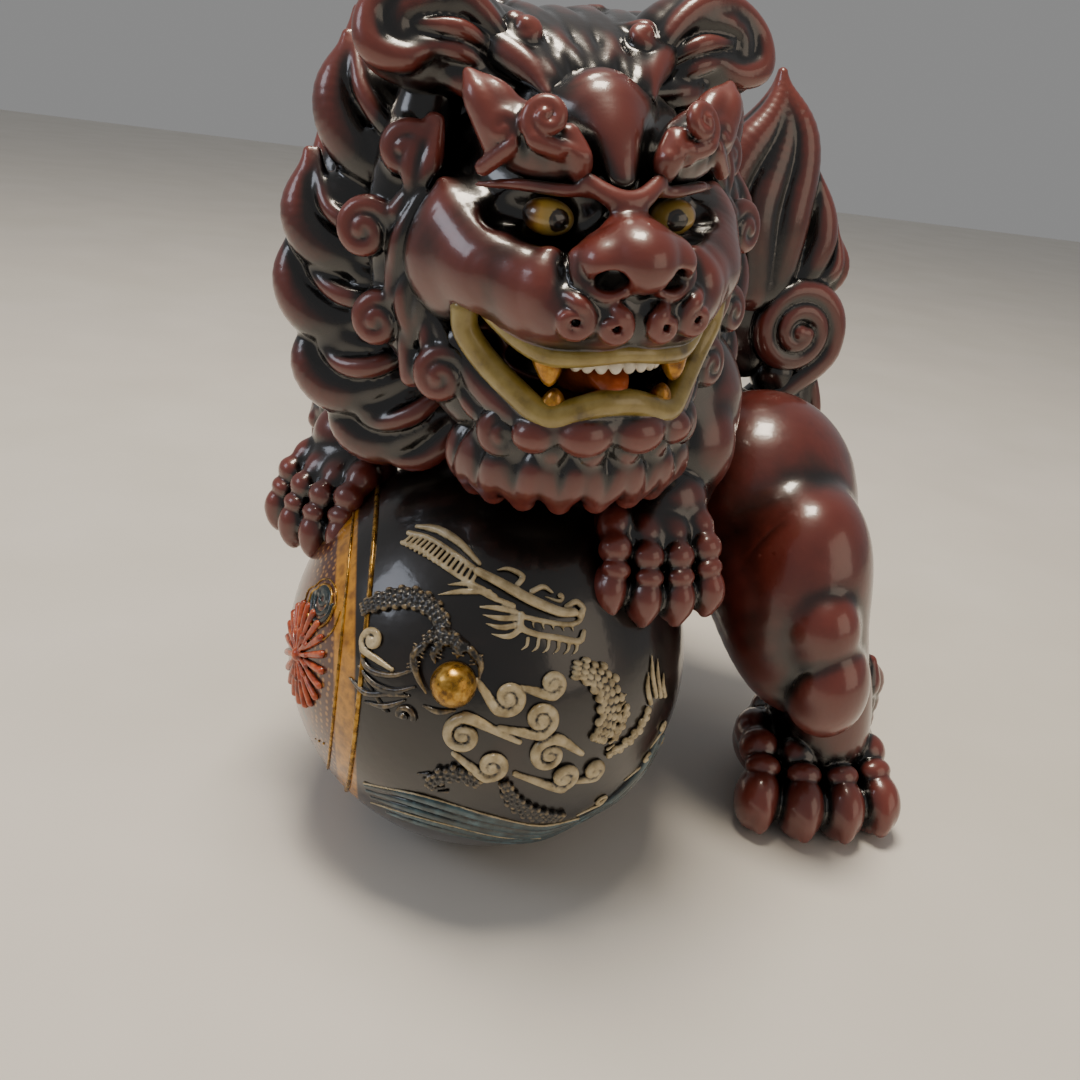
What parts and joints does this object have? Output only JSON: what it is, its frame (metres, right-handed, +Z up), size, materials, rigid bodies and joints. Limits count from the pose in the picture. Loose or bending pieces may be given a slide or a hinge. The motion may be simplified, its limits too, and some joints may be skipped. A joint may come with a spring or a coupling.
{
  "type": "guardian lion statue",
  "caption": "Glazed ceramic guardian lion, mouth open, leaning both forepaws on a hollow ball with relief ornament.",
  "frame": {"origin": "middle of the ball's flat foot, on the surface that the statue stands on", "axes": "+Z up; the lion's chest and forepaws face -Y; +X is the lion's left, where its free hind leg stands"},
  "size_m": [0.2466, 0.2627, 0.2803],
  "materials": {
    "iron_red_glaze": "glossy iron-red lead glaze, running to black-brown in the grooves",
    "black_brown_glaze": "glossy black-brown glaze",
    "overglaze_gold": "dull gold overglaze, partly rubbed",
    "cream_slip": "cream slip relief under a thin clear glaze, worn on its edges",
    "blue_enamel": "grey-blue enamel over black-brown glaze",
    "coral_enamel": "coral-red overglaze enamel",
    "white_enamel": "white enamel"
  },
  "bodies": {
    "root": {"head": "iron_red_glaze", "lower_jaw": "iron_red_glaze", "brow_right": "iron_red_glaze", "brow_left": "iron_red_glaze", "ear_right": "iron_red_glaze", "ear_left": "iron_red_glaze", "foreleg_right": "iron_red_glaze", "foreleg_left": "iron_red_glaze", "hind_leg_left": "iron_red_glaze", "hind_leg_right": "iron_red_glaze", "leg_tufts_left": "iron_red_glaze", "leg_tufts_right": "iron_red_glaze", "beard": "iron_red_glaze", "cheek_curls_right": "iron_red_glaze", "cheek_curls_left": "iron_red_glaze", "ruff_right": "iron_red_glaze", "ruff_left": "iron_red_glaze", "crown_mane": "iron_red_glaze", "nape_mane": "iron_red_glaze", "tail_root": "iron_red_glaze", "tail_coil": "iron_red_glaze", "tail_flame": "iron_red_glaze", "ball": "black_brown_glaze", "trunk": "black_brown_glaze", "eye_right": "overglaze_gold", "eye_left": "overglaze_gold", "upper_fang_right": "overglaze_gold", "upper_fang_left": "overglaze_gold", "lower_fang_right": "overglaze_gold", "lower_fang_left": "overglaze_gold", "medallion_rim": "overglaze_gold", "pearl": "overglaze_gold", "tongue": "coral_enamel", "chrysanthemum": "coral_enamel", "upper_teeth": "white_enamel", "dragon_head": "cream_slip", "dragon_claw": "cream_slip", "dragon_body": "cream_slip", "dragon_tail": "cream_slip", "cloud_scrolls": "cream_slip", "wave_band": "blue_enamel"}
  },
  "joints": []
}
